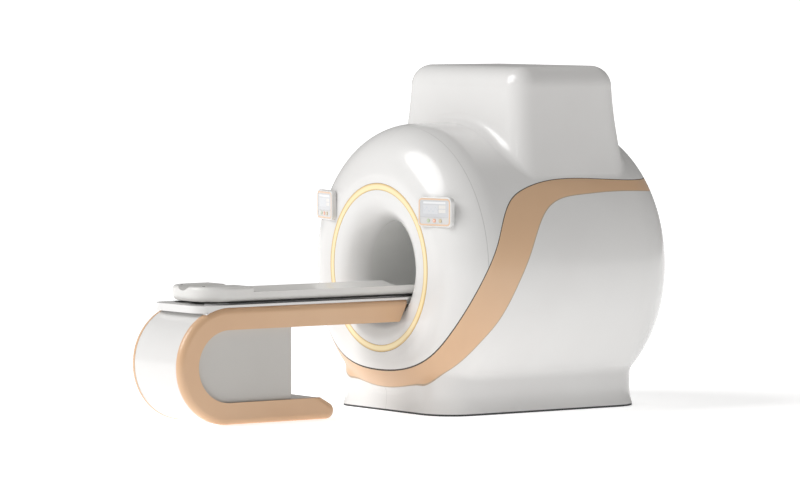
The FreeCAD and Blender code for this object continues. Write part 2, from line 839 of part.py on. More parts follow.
for side, hand in ((-1, "left"), (1, "right")):
    half_w = d.panel_width / 2
    half_h = d.panel_height / 2
    block, block_pad = face_block(f"housing_block_{hand}", half_w, half_h, d.panel_corner,
                                  PANEL_FRONT + d.panel_depth, d.panel_depth)
    rounded(block, block_pad, d.panel_round, lambda p: near(p.y, PANEL_FRONT.number))
    foot, _ = face_block(f"housing_foot_{hand}", half_w - d.foot_inset, half_h - d.foot_inset,
                         d.panel_corner, PANEL_FRONT + d.foot_depth, d.foot_depth - d.panel_depth / 2)
    pocket_w = half_w - d.bezel_margin
    pocket_h = half_h - d.bezel_margin
    pocket_corner = d.panel_corner - d.bezel_margin
    pocket, _ = face_block(f"housing_pocket_{hand}", pocket_w, pocket_h, pocket_corner,
                           PANEL_FRONT + POCKET, POCKET + 1)
    for part in (block, foot, pocket):
        panel_part(part, side)
    piece(cut(f"panel_housing_{hand}", fuse(f"housing_{hand}", block, foot), pocket, gantry_surface))

    inner_w = pocket_w - d.bezel_width
    inner_h = pocket_h - d.bezel_width
    face, _ = face_block(f"bezel_face_{hand}", pocket_w - d.joint_gap, pocket_h - d.joint_gap,
                         pocket_corner - d.joint_gap, PANEL_FRONT + POCKET, POCKET + d.joint_gap)
    window = box(f"bezel_window_{hand}", (-inner_w, inner_w),
                 (PANEL_FRONT - 2, PANEL_FRONT + d.glass_depth),
                 (SCREEN_LOW, SCREEN_LOW + d.screen_height))
    recess = box(f"bezel_recess_{hand}", (-inner_w, inner_w), (PANEL_FRONT - 2, PANEL_FRONT + 1),
                 (-inner_h, SCREEN_LOW - d.bezel_depth))
    key_holes = [rod(f"key_hole_{hand}_{k}", d.key_radius + d.running_gap, "y",
                     (k * d.key_pitch, PANEL_FRONT - 2, KEY_Z), POCKET + 1) for k in (-1, 0, 1)]
    bezel = cut(f"panel_bezel_{hand}", face, window, recess, *key_holes)
    piece(panel_part(bezel, side))
    screen = box(f"panel_screen_{hand}",
                 (d.joint_gap - inner_w, inner_w - d.joint_gap),
                 (PANEL_FRONT, PANEL_FRONT + d.glass_depth),
                 (SCREEN_LOW + d.joint_gap, SCREEN_LOW + d.screen_height - d.joint_gap))
    piece(panel_part(group(f"panel_glass_{hand}", [screen]), side), f"panel_screen_glass_{hand}")
    for k, word in ((-1, "a"), (0, "b"), (1, "c")):
        key = rod(f"key_{hand}_{word}_cap", d.key_radius, "y",
                  (k * d.key_pitch, PANEL_FRONT - d.key_travel, KEY_Z), d.key_height)
        piece(panel_part(group(f"key_{hand}_{word}", [key]), side))

# ------------------------------------------------------------------------------------------------
# Table: C-shaped side bands, drum shell, cabinet, foot cover, beam frame and deck
# ------------------------------------------------------------------------------------------------
FOOT_TIP = FRONT - d.foot_reach


def c_outline(outside, thickness):
    """Side view of the table's C: beam on top, half a drum at the end, foot along the floor."""
    outer = OUTER_R - outside
    inner = OUTER_R - thickness
    low = outside
    foot_top = Size.of(thickness)
    nose = d.nose_round - outside
    nose_y = FOOT_TIP - d.nose_round
    lean = math.radians(sheet.nose_lean)
    slope_z = d.nose_round + nose * math.sin(lean)
    slope_y = nose_y + nose * math.cos(lean)
    return [
        (BEAM_END - 0.5 * outside, TABLE_TOP - outside),
        (TURN, TABLE_TOP - outside, outer),
        (TURN - outer, OUTER_R, outer),
        (TURN, low),
        (nose_y, low, nose),
        (FOOT_TIP - outside, d.nose_round, nose),
        (slope_y, slope_z),
        (slope_y - (foot_top - slope_z) * math.tan(lean), foot_top),
        (TURN, foot_top, -inner),
        (TURN - inner, OUTER_R, -inner),
        (TURN, TABLE_TOP - thickness),
        (BEAM_END_LOW, TABLE_TOP - thickness),
    ]


C_OUTLINE = c_outline(Size.of(0), d.arm_thickness)
NOSE_TOP = C_OUTLINE[7][0]


def on_drum(point):
    """On the outer edge of the C: the beam's top, the drum, or the foot's underside and nose."""
    if point.y > TURN.number:
        on_nose = point.y > NOSE_TOP.number - 1 and point.z < sheet.arm_thickness + 0.1
        return on_nose or near(point.z, TABLE_TOP.number) or near(point.z, 0)
    return near(math.hypot(point.y - TURN.number, point.z - OUTER_R.number), OUTER_R.number)


for side, hand in ((-1, "left"), (1, "right")):
    start = INSIDE_BANDS if side > 0 else -HALF_TABLE
    band, band_pad = padded(f"table_band_{hand}", "YZ_Plane", C_OUTLINE, start, d.band_width)
    outer_x = side * HALF_TABLE.number
    rounded(band, band_pad, d.band_round, lambda p: near(p.x, outer_x) and on_drum(p))
    piece(band)

outside, _ = padded("shell_outline", "YZ_Plane", c_outline(d.band_proud, d.shell_wall),
                              -INSIDE_BANDS, 2 * INSIDE_BANDS)
shell_reach = box("shell_reach", (-HALF_TABLE, HALF_TABLE), (TURN - TABLE_TOP, TURN),
                  (Size.of(0), TABLE_TOP))
piece(common("table_drum_shell", outside, shell_reach))

CABINET_R = INNER_R - d.joint_gap
CABINET_END = FRONT - d.cabinet_reach
cabinet, _ = padded("table_cabinet", "YZ_Plane", [
    (CABINET_END, OUTER_R - CABINET_R),
    (CABINET_END, OUTER_R + CABINET_R),
    (TURN, OUTER_R + CABINET_R, CABINET_R),
    (TURN - CABINET_R, OUTER_R, CABINET_R),
    (TURN, OUTER_R - CABINET_R),
], d.cabinet_recess - HALF_TABLE, 2 * (HALF_TABLE - d.cabinet_recess))
HALF_CORE = HALF_TABLE - d.cabinet_recess - d.cabinet_wall
cabinet_core = box("cabinet_core", (-HALF_CORE, HALF_CORE),
                   (TURN - INNER_R * 0.6, CABINET_END - d.cabinet_wall),
                   (OUTER_R - CABINET_R + d.cabinet_wall, OUTER_R + CABINET_R - d.cabinet_wall))
piece(cut("table_cabinet_case", cabinet, cabinet_core))

# Foot: a floor plate between the bands under a white cover.
FOOT_COVER_END = NOSE_TOP - 2
piece(box("table_floor_plate", (-INSIDE_BANDS, INSIDE_BANDS),
          (TURN, FOOT_COVER_END - 2 * d.foot_cover_wall), (Size.of(0), d.base_thickness)))
foot_outside = box("foot_outside", (-INSIDE_BANDS, INSIDE_BANDS), (TURN, FOOT_COVER_END),
                   (d.base_thickness, d.arm_thickness - d.band_proud))
foot_inside = box("foot_inside", (d.foot_cover_wall - INSIDE_BANDS, INSIDE_BANDS - d.foot_cover_wall),
                  (TURN - 1, FOOT_COVER_END - d.foot_cover_wall),
                  (d.base_thickness - 1, d.arm_thickness - d.band_proud - d.foot_cover_wall))
piece(cut("table_foot_cover", foot_outside, foot_inside))

# Beam: a folded channel between the bands, open at the top under the deck.
DECK_END = TURN - d.deck_overhang
CHANNEL_TOP = DECK_TOP - d.deck_thickness
CHANNEL_LOW = BEAM_UNDER + d.band_proud
CHANNEL_END = BEAM_END_LOW - 4
channel_outside = box("channel_outside", (-INSIDE_BANDS, INSIDE_BANDS), (TURN, CHANNEL_END),
                      (CHANNEL_LOW, CHANNEL_TOP))
channel_inside = box("channel_inside", (d.frame_wall - INSIDE_BANDS, INSIDE_BANDS - d.frame_wall),
                     (TURN - 1, CHANNEL_END - d.frame_wall), (CHANNEL_LOW + d.frame_wall, CHANNEL_TOP + 1))
piece(cut("beam_channel", channel_outside, channel_inside))

# Deck: a thin slab over the beam and between the bands that thickens where it overhangs the drum.
DRIVE_Y = TURN + d.drive_inset
IDLER_Y = CHANNEL_END - d.idler_inset
CLAMP_Y = DRIVE_Y + d.clamp_start
CLAMP_STOP = IDLER_Y - d.clamp_stop
SLOT_START = CLAMP_Y - d.slot_margin
SLOT_END = CLAMP_STOP + d.slot_margin
deck_slab, _ = padded("deck_slab", "XY_Plane", [
    (-HALF_TABLE, DECK_END + d.deck_corner, d.deck_corner),
    (d.deck_corner - HALF_TABLE, DECK_END),
    (HALF_TABLE - d.deck_corner, DECK_END, d.deck_corner),
    (HALF_TABLE, DECK_END + d.deck_corner),
    (HALF_TABLE, BEAM_END),
    (-HALF_TABLE, BEAM_END),
], CHANNEL_TOP, d.deck_thickness)
cheeks = [box("deck_cheek", span, (DECK_END + 0.5 * d.deck_corner, TURN),
              (CHANNEL_TOP - d.cheek_drop, CHANNEL_TOP))
          for span in ((-HALF_TABLE, -INSIDE_BANDS), (INSIDE_BANDS, HALF_TABLE))]
deck_block = fuse("deck_block", deck_slab, *cheeks)
deck_clear_r = OUTER_R + d.running_gap
deck_drum = rod("deck_drum", deck_clear_r, "x", (-HALF_TABLE - 1, TURN, OUTER_R), 2 * HALF_TABLE + 2)
deck_beam_left = box("deck_beam_left", (-HALF_TABLE - 1, -INSIDE_BANDS + d.running_gap),
                     (TURN, Size.of(0)), (CHANNEL_TOP - 1, TABLE_TOP))
deck_beam_right = box("deck_beam_right", (INSIDE_BANDS - d.running_gap, HALF_TABLE + 1),
                      (TURN, Size.of(0)), (CHANNEL_TOP - 1, TABLE_TOP))
deck_under = box("deck_under", (d.deck_shelf - INSIDE_BANDS, INSIDE_BANDS - d.deck_shelf),
                 (TURN, CHANNEL_END), (CHANNEL_TOP - 1, TABLE_TOP))
deck_slot = box("deck_slot", (-d.slot_half_width, d.slot_half_width), (SLOT_START, SLOT_END),
                (CHANNEL_TOP, DECK_TOP + 1))
piece(cut("table_deck", deck_block, deck_drum, deck_beam_left, deck_beam_right, deck_under, deck_slot))

# Bridge through the bore: an inverted channel that stands on the liner in line with the deck.
BRIDGE_END = REAR - d.funnel_radius
bridge_block = box("bridge_block", (-HALF_BRIDGE, HALF_BRIDGE),
                   (BEAM_END, BRIDGE_END), (AXIS - d.bore_radius, DECK_TOP))
bridge_round = rod("bridge_round", d.bore_radius - d.running_gap, "y",
                   (Size.of(0), BEAM_END - 1, AXIS), BRIDGE_END - BEAM_END + 2)
bridge_under = box("bridge_under", (d.bridge_wall - HALF_BRIDGE, HALF_BRIDGE - d.bridge_wall),
                   (BEAM_END - 1, BRIDGE_END + 1),
                   (AXIS - d.bore_radius - 1, DECK_TOP - d.bridge_top))
piece(cut("bore_bridge", common("bridge_bar", bridge_block, bridge_round), bridge_under))

# Two guide rails run without a break from the deck's foot end to the rear of the bridge.
rails = [box("guide_rail", (side * RAIL_X - d.rail_width / 2, side * RAIL_X + d.rail_width / 2),
             (DECK_END + d.deck_corner, BRIDGE_END), (DECK_TOP, RAIL_TOP)) for side in (-1, 1)]
piece(group("guide_rails", rails))

# ------------------------------------------------------------------------------------------------
# Tabletop: dished tray with a raised foot end, on a black carriage
# ------------------------------------------------------------------------------------------------
TRAY_START = DECK_END + d.tray_setback
TRAY_STOP = FRONT + d.tray_entry
TRAY_TOP = TRAY_LOW + d.tray_thickness
HUMP_STOP = TRAY_START + TRAY_ROUND + d.hump_length
dish_half = HALF_TRAY - d.tray_rim
dish_radius = (dish_half * dish_half + d.tray_dish * d.tray_dish) / (2 * d.tray_dish)


def tray_plan(name, low, high, stop):
    """Plan of the tray with its round foot end, as a block between two heights."""
    start = TRAY_START
    return padded(name, "XY_Plane", [
        (-HALF_TRAY, start + TRAY_ROUND, TRAY_ROUND),
        (TRAY_ROUND - HALF_TRAY, start),
        (HALF_TRAY - TRAY_ROUND, start, TRAY_ROUND),
        (HALF_TRAY, start + TRAY_ROUND),
        (HALF_TRAY, stop),
        (-HALF_TRAY, stop),
    ], low, high - low)


tray_body, tray_pad = tray_plan("tray_block", TRAY_LOW, TRAY_TOP, TRAY_STOP)
rounded(tray_body, tray_pad, d.tray_bilge, lambda p: near(p.z, TRAY_LOW.number))
tray_dish = rod("tray_dish", dish_radius, "y",
                (Size.of(0), HUMP_STOP, TRAY_TOP - d.tray_dish + dish_radius), TRAY_STOP - TRAY_START)
piece(cut("tray", tray_body, tray_dish))

# The foot end carries a raised pad with a notch down its middle and a strap eye in each half.
HUMP_TOP = TRAY_TOP + d.hump_height
pad_body, pad_pad = tray_plan("pad_block", TRAY_TOP, HUMP_TOP, HUMP_STOP)
rounded(pad_body, pad_pad, d.hump_round, lambda p: near(p.z, HUMP_TOP.number))
EYE_FLOOR = TRAY_TOP + d.notch_floor
hump_notch = rod("hump_notch", d.hump_notch, "y",
                 (Size.of(0), TRAY_START - 1, EYE_FLOOR + d.hump_notch), TRAY_STOP - TRAY_START)
strap_eyes = [rod("strap_eye", d.strap_eye, "z",
                  (side * HALF_TRAY / 2, TRAY_START + d.strap_inset, EYE_FLOOR), d.hump_height)
              for side in (-1, 1)]
piece(cut("foot_pad", pad_body, hump_notch, *strap_eyes))

piece(box("carriage", (-HALF_CARRIAGE, HALF_CARRIAGE),
          (TRAY_START + TRAY_ROUND, TRAY_STOP - d.carriage_inset), (GLIDE, TRAY_LOW)))

# ------------------------------------------------------------------------------------------------
# Belt drive in the beam: two pulleys, belt, motor, bearings and the clamp that pulls the carriage
# ------------------------------------------------------------------------------------------------
FRAME_FLOOR = CHANNEL_LOW + d.frame_wall
PULLEY_Z = FRAME_FLOOR + d.pulley_radius + d.pulley_lift
HALF_PULLEY = d.pulley_width / 2
BEARING_IN = HALF_PULLEY + d.pulley_side
BELT_IN = d.pulley_radius + d.running_gap


def pulley(name, along):
    wheel = rod(name + "_wheel", d.pulley_radius, "x", (-HALF_PULLEY, along, PULLEY_Z), d.pulley_width)
    half_shaft = BEARING_IN + d.bearing_wall
    shaft = rod(name + "_shaft", d.shaft_radius, "x", (-half_shaft, along, PULLEY_Z), 2 * half_shaft)
    return piece(fuse(name, wheel, shaft))


pulley("drive_pulley", DRIVE_Y)
pulley("idler_pulley", IDLER_Y)

bearings = []
for along in (DRIVE_Y, IDLER_Y):
    for side in (-1, 1):
        inner_x = side * BEARING_IN
        outer_x = side * (BEARING_IN + d.bearing_wall)
        span = (inner_x, outer_x) if side > 0 else (outer_x, inner_x)
        block = box("bearing_block", span, (along - d.bearing_half_length, along + d.bearing_half_length),
                    (FRAME_FLOOR, PULLEY_Z + d.bearing_rise))
        bore = rod("bearing_bore", d.shaft_radius + d.running_gap, "x",
                   (span[0] - 1, along, PULLEY_Z), d.bearing_wall + 2)
        bearings.append(cut("bearing", block, bore))
piece(group("bearing_blocks", bearings))

MOTOR_X = BEARING_IN + d.bearing_wall
piece(box("drive_motor", (MOTOR_X, MOTOR_X + d.motor_length),
          (DRIVE_Y - d.motor_half_width, DRIVE_Y + d.motor_half_width),
          (FRAME_FLOOR, FRAME_FLOOR + d.motor_height)))


def belt_loop(name, radius, width):
    """An obround block round both pulleys, centred on the machine."""
    body, _ = padded(name, "YZ_Plane", [
        (DRIVE_Y, PULLEY_Z + radius, radius),
        (DRIVE_Y - radius, PULLEY_Z, radius),
        (DRIVE_Y, PULLEY_Z - radius),
        (IDLER_Y, PULLEY_Z - radius, radius),
        (IDLER_Y + radius, PULLEY_Z, radius),
        (IDLER_Y, PULLEY_Z + radius),
    ], -width / 2, width)
    return body


BELT_TOP = BELT_IN + d.belt_thickness
piece(cut("drive_belt", belt_loop("belt_outside", BELT_TOP, d.pulley_width - 2 * d.belt_margin),
          belt_loop("belt_inside", BELT_IN, d.pulley_width)))

CLAMP_BASE = PULLEY_Z + BELT_TOP + d.running_gap
clamp_foot = box("clamp_foot", (-d.clamp_half_width, d.clamp_half_width),
                 (CLAMP_Y, CLAMP_Y + d.clamp_length), (CLAMP_BASE, CLAMP_BASE + d.clamp_thickness))
clamp_web = box("clamp_web", (-d.web_half_width, d.web_half_width),
                (CLAMP_Y + d.web_half_width, CLAMP_Y + d.clamp_length - d.web_half_width),
                (CLAMP_BASE, GLIDE))
piece(fuse("belt_clamp", clamp_foot, clamp_web))

# ------------------------------------------------------------------------------------------------
# Check and write
# ------------------------------------------------------------------------------------------------
doc.recompute()
for item in doc.Objects:
    if "Invalid" in item.State or "Error" in item.State:
        raise RuntimeError(f"{item.Name} did not compute: {item.State}")
os.makedirs("parts", exist_ok=True)
for item in pieces:
    shape = item.Shape
    if shape.isNull() or not shape.isValid():
        raise RuntimeError(f"{item.Label} has no valid shape")
    shape.exportStep(f"parts/{item.Label}.step")
    print(f"{item.Label}: {len(shape.Solids)} solid(s), {shape.Volume / 1e6:.2f} litres")
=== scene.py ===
import math

import bmesh
import bpy
from mathutils import Matrix, Vector


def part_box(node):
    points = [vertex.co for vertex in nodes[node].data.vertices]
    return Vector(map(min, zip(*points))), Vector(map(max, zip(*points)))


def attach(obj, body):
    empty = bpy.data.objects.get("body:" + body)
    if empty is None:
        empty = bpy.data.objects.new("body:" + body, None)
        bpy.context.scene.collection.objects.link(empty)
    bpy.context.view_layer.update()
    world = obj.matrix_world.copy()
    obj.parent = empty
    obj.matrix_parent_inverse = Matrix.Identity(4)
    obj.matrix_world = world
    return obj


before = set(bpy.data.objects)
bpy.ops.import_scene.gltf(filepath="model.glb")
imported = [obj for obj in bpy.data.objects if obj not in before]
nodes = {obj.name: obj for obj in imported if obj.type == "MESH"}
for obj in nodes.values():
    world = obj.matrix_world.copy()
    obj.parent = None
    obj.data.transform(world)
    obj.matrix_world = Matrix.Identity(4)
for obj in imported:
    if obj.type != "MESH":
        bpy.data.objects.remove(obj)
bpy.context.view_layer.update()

# ------------------------------------------------------------------------------------------------
# Stage and camera.  A pale studio floor runs past the horizon, and the camera stands far back at
# the height of a seated person, to the right of the table, so the machine shows almost in parallel.
# ------------------------------------------------------------------------------------------------
AZIMUTH = math.radians(54.7)
ELEVATION = math.radians(3.1)
DISTANCE = 29.4
AIM = Vector((0.069, -0.730, 1.000))
TOWARD_CAMERA = Vector((math.sin(AZIMUTH) * math.cos(ELEVATION),
                        -math.cos(AZIMUTH) * math.cos(ELEVATION),
                        math.sin(ELEVATION)))

SENSOR_WIDTH = 36
FOCAL_LENGTH = 220.5
FARTHEST = 5000

camera = bpy.data.objects.new("camera", bpy.data.cameras.new("camera"))
camera.data.sensor_width = SENSOR_WIDTH
camera.data.lens = FOCAL_LENGTH
camera.data.clip_end = FARTHEST
camera.location = AIM + TOWARD_CAMERA * DISTANCE
camera.rotation_euler = TOWARD_CAMERA.to_track_quat("Z", "Y").to_euler()
bpy.context.scene.collection.objects.link(camera)
bpy.context.scene.camera = camera
bpy.context.scene.view_settings.view_transform = "Standard"


class Socket:
    """A node's output, with the arithmetic that the finishes use."""

    def __init__(self, finish, link):
        self.finish = finish
        self.link = link

    def math(self, operation, first, second):
        return self.finish.node("ShaderNodeMath", {"operation": operation}, {0: first, 1: second})

    def __add__(self, other):
        return self.math("ADD", self, other)

    def __radd__(self, other):
        return self.math("ADD", other, self)

    def __sub__(self, other):
        return self.math("SUBTRACT", self, other)

    def __mul__(self, other):
        return self.math("MULTIPLY", self, other)

    def __truediv__(self, other):
        return self.math("DIVIDE", self, other)

    def __lt__(self, other):
        return self.math("LESS_THAN", self, other)

    def size(self):
        return self.math("ABSOLUTE", self, 0.0)

    def root(self):
        return self.math("SQRT", self, 0.0)


class Finish:
    """One surface finish: a material with its shader, and the nodes that vary it."""

    def __init__(self, name, roughness=0.5, **fixed):
        self.material = bpy.data.materials.new(name)
        self.material.use_nodes = True
        self.tree = self.material.node_tree
        self.shader = self.tree.nodes["Principled BSDF"]
        self.shader.inputs["Roughness"].default_value = roughness
        for socket, value in fixed.items():
            self.shader.inputs[socket.replace("_", " ")].default_value = value
        self.place = Socket(self, self.tree.nodes.new("ShaderNodeTexCoord").outputs["Object"])

    def node(self, kind, settings, inputs, output=0):
        made = self.tree.nodes.new(kind)
        for name, value in settings.items():
            setattr(made, name, value)
        for key, value in inputs.items():
            self.feed(made.inputs[key], value)
        return Socket(self, made.outputs[output])

    def feed(self, socket, value):
        if isinstance(value, Socket):
            self.tree.links.new(value.link, socket)
        else:
            socket.default_value = value

    def noise(self, scale, detail=2.0, stretch=(1, 1, 1)):
        where = self.node("ShaderNodeMapping", {}, {"Vector": self.place, "Scale": stretch})
        return self.node("ShaderNodeTexNoise", {},
                         {"Vector": where, "Scale": scale, "Detail": detail})

    def part(self, vector, axis):
        """One coordinate of a vector."""
        return self.node("ShaderNodeSeparateXYZ", {}, {0: vector}, axis)

    def larger(self, first, second):
        return self.node("ShaderNodeMath", {"operation": "MAXIMUM"}, {0: first, 1: second})

    def sine(self, value):
        return self.node("ShaderNodeMath", {"operation": "SINE"}, {0: value})

    def blend(self, factor, first, second):
        """Between two colours."""
        made = self.tree.nodes.new("ShaderNodeMix")
        made.data_type = "RGBA"
        for key, value in (("Factor", factor), ("A", first), ("B", second)):
            of_kind = [s for s in made.inputs if s.name == key and s.enabled]
            self.feed(of_kind[0], value)
        return Socket(self, next(s for s in made.outputs if s.enabled))

    def smooth(self, value, low, high):
        """From 0 at low to 1 at high, with soft ends."""
        return self.node("ShaderNodeMapRange", {"interpolation_type": "SMOOTHSTEP"},
                         {"Value": value, 1: low, 2: high})

    def colour(self, value):
        self.feed(self.shader.inputs["Base Color"], value)
        return self

    def rough(self, value):
        self.feed(self.shader.inputs["Roughness"], value)
        return self

    def bump(self, height, depth, strength):
        normal = self.node("ShaderNodeBump", {}, {"Height": height, "Distance": depth,
                                                  "Strength": strength})
        self.feed(self.shader.inputs["Normal"], normal)
        return self

    def on(self, *names):
        """Put this finish on CAD nodes."""
        for name in names:
            data = nodes[name].data
            data.materials.clear()
            data.materials.append(self.material)
        return self


def rgb(red, green, blue):
    return (red, green, blue, 1.0)


def add_mesh(name, mesh, finish, body="scanner"):
    """A finished bmesh as a piece that rides on a CAD body."""
    bmesh.ops.recalc_face_normals(mesh, faces=mesh.faces)
    data = bpy.data.meshes.new(name)
    mesh.to_mesh(data)
    mesh.free()
    data.materials.append(finish.material)
    piece = bpy.data.objects.new(name, data)
    bpy.context.scene.collection.objects.link(piece)
    if body:
        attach(piece, body)
    return piece


FLOOR_RADIUS = 2000
FLOOR_SEGMENTS = 96
FLOOR_GLOW = 0.62

floor_finish = Finish("studio_floor", roughness=0.9, Emission_Strength=FLOOR_GLOW)
floor_finish.colour(floor_finish.blend(floor_finish.noise(0.7),
                                       rgb(0.90, 0.90, 0.90), rgb(0.93, 0.93, 0.93)))
floor_finish.feed(floor_finish.shader.inputs["Emission Color"],
                  floor_finish.blend(floor_finish.noise(0.2),
                                     rgb(0.98, 0.98, 0.98), rgb(1.0, 1.0, 1.0)))
floor_mesh = bmesh.new()
bmesh.ops.create_circle(floor_mesh, cap_ends=True, segments=FLOOR_SEGMENTS, radius=FLOOR_RADIUS)
floor = add_mesh("studio_floor", floor_mesh, floor_finish, body=None)

# ------------------------------------------------------------------------------------------------
# Light.  A dim warm room, a broad sun from above the table end and the left, and three weak
# softboxes that show as soft panes on the glossy covers.  Powers are in watts, the sun's in W/m2.
# ------------------------------------------------------------------------------------------------
ROOM_COLOUR = rgb(1.0, 0.985, 0.965)
ROOM_STRENGTH = 0.27

world = bpy.data.worlds.new("studio")
world.use_nodes = True
world.node_tree.nodes["Background"].inputs["Color"].default_value = ROOM_COLOUR
world.node_tree.nodes["Background"].inputs["Strength"].default_value = ROOM_STRENGTH
bpy.context.scene.world = world


def lamp(name, kind, place, aim, energy, **shape):
    light = bpy.data.lights.new(name, kind)
    light.energy = energy
    for key, value in shape.items():
        setattr(light, key, value)
    item = bpy.data.objects.new(name, light)
    item.location = place
    item.rotation_euler = (Vector(place) - Vector(aim)).to_track_quat("Z", "Y").to_euler()
    bpy.context.scene.collection.objects.link(item)


CENTRE = Vector((0, 0, 0.9))
lamp("key", "SUN", (-3.6, -8, 8.5), CENTRE, 2.0, angle=math.radians(40))
lamp("front_box", "AREA", (-2.5, -7.5, 4.5), (0, -0.8, 1.2), 14,
     shape="RECTANGLE", size=1.6, size_y=2.6)
lamp("side_box", "AREA", (7.0, -1.0, 0.9), (0.6, 0.2, 0.9), 3,
     shape="RECTANGLE", size=2.4, size_y=1.2)
lamp("window_box", "AREA", (3.4, -7.0, 4.2), (0.4, -0.8, 1.4), 6,
     shape="RECTANGLE", size=0.35, size_y=0.7)

# ------------------------------------------------------------------------------------------------
# Gantry and table covers.  Glass-fibre mouldings with a glossy white gel coat, polished by hand, so
# the surface has a faint orange peel and a trace of haze.
# ------------------------------------------------------------------------------------------------
GEL_WHITE = rgb(0.80, 0.795, 0.785)
GEL_WHITE_LOW = rgb(0.765, 0.755, 0.745)


def gel_coat(name, high, low, roughness):
    finish = Finish(name, Coat_Weight=0.25, Coat_Roughness=0.05, IOR=1.5)
    haze = finish.noise(1.3, 3.0)
    finish.colour(finish.blend(finish.smooth(haze, 0.3, 0.75), high, low))
    smear = finish.noise(9.0, 4.0, (1, 1, 0.4))
    finish.rough(roughness + smear * 0.08)
    finish.bump(finish.noise(170.0, 1.0), 0.00012, 0.25)
    return finish


white = gel_coat("white_gel_coat", GEL_WHITE, GEL_WHITE_LOW, 0.2)
white.on("front_cover", "top_cover", "side_cover_left", "side_cover_right", "front_funnel",
         "rear_funnel", "rear_panel", "panel_housing_left", "panel_housing_right",
         "table_drum_shell", "table_foot_cover", "table_deck", "beam_channel")

# ------------------------------------------------------------------------------------------------
# Accent band and the table's C bands.  The same moulding, sprayed in a warm peach with a satin
# pearl under the gloss.
# ------------------------------------------------------------------------------------------------
PEACH = rgb(0.76, 0.505, 0.315)
PEACH_LOW = rgb(0.71, 0.455, 0.275)

peach = gel_coat("peach_gel_coat", PEACH, PEACH_LOW, 0.3)
peach.on("accent_band", "table_band_left", "table_band_right")

# ------------------------------------------------------------------------------------------------
# Cover seals.  Extruded rubber pressed between neighbouring covers, matt and slightly grainy: pale
# grey between the white covers, near black over the accent band and clay under it.
# ------------------------------------------------------------------------------------------------
SEAL_TINTS = {
    "pale_rubber": (rgb(0.55, 0.545, 0.535), rgb(0.61, 0.605, 0.595),
                    ("front_cover_seal", "centre_seals")),
    "black_rubber": (rgb(0.055, 0.045, 0.038), rgb(0.085, 0.07, 0.058), ("band_upper_seal",)),
    "clay_rubber": (rgb(0.47, 0.36, 0.27), rgb(0.54, 0.42, 0.32), ("band_lower_seal",)),
}
for name, (dark, light, seals) in SEAL_TINTS.items():
    rubber = Finish(name, roughness=0.75)
    rubber.colour(rubber.blend(rubber.noise(60.0), dark, light))
    rubber.bump(rubber.noise(700.0), 0.0002, 0.4)
    rubber.on(*seals)

# ------------------------------------------------------------------------------------------------
# Light ring.  An opal acrylic ring lit from behind by a strip in its dark carrier, with the light
# falling off towards both edges of the opal.
# ------------------------------------------------------------------------------------------------
RING_INNER_FADE = 0.28
RING_OUTER_FADE = 0.62

ring_low, ring_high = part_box("light_ring")
ring_centre = (ring_low + ring_high) / 2
ring_outer = (ring_high.x - ring_low.x) / 2
funnel_low, funnel_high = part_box("front_funnel")
ring_inner = (funnel_high.x - funnel_low.x) / 2
ring_width = ring_outer - ring_inner

opal = Finish("lit_opal", roughness=0.25, Emission_Strength=1.0, Coat_Weight=0.3)
from_axis = opal.node("ShaderNodeMapping", {}, {
    "Vector": opal.place, "Location": (0, 0, -ring_centre.z), "Scale": (1, 0, 1)})
radius = opal.node("ShaderNodeVectorMath", {"operation": "LENGTH"}, {0: from_axis}, "Value")
across = (radius - ring_inner) / ring_width
edge = opal.smooth(across, 0.0, RING_INNER_FADE) * opal.smooth(across, 1.0, RING_OUTER_FADE)
opal.colour(opal.blend(edge, rgb(0.60, 0.43, 0.19), rgb(0.78, 0.66, 0.40)))
opal.feed(opal.shader.inputs["Emission Color"],
          opal.blend(edge, rgb(0.10, 0.055, 0.015), rgb(0.17, 0.135, 0.07)))
opal.on("light_ring")

# ------------------------------------------------------------------------------------------------
# Bore liner and bridge.  A plain white tube of glass-fibre laminate with a semi-matt inside, and
# the moulded bridge that carries the rails through it.
# ------------------------------------------------------------------------------------------------
laminate = Finish("bore_laminate", roughness=0.45)
laminate.colour(laminate.blend(laminate.noise(2.0, 3.0),
                               rgb(0.80, 0.80, 0.785), rgb(0.75, 0.75, 0.735)))
laminate.bump(laminate.noise(260.0, 1.0), 0.0003, 0.3)
laminate.on("bore_liner", "bore_bridge", "transmit_coil", "gradient_coil")

# ------------------------------------------------------------------------------------------------
# Tabletop.  A dished tray of pale gel-coated laminate with a moulded foot pad, carried by a black
# polymer plate that shows as a dark line over the deck.
# ------------------------------------------------------------------------------------------------
tray_coat = gel_coat("tray_gel_coat", rgb(0.80, 0.79, 0.77), rgb(0.75, 0.74, 0.72), 0.26)
tray_coat.on("tray", "foot_pad")

black = Finish("black_polymer", roughness=0.5)
black.colour(black.blend(black.noise(120.0), rgb(0.012, 0.012, 0.012), rgb(0.024, 0.023, 0.022)))
black.bump(black.noise(900.0), 0.0001, 0.5)
black.on("carriage", "drive_belt")

# ------------------------------------------------------------------------------------------------
# Table cabinet.  Folded sheet steel with a warm grey powder coat.
# ------------------------------------------------------------------------------------------------
powder = Finish("grey_powder_coat", roughness=0.5)
powder.colour(powder.blend(powder.noise(3.0, 3.0), rgb(0.60, 0.585, 0.56), rgb(0.565, 0.55, 0.525)))
powder.bump(powder.noise(450.0), 0.0002, 0.35)
powder.on("table_cabinet_case")

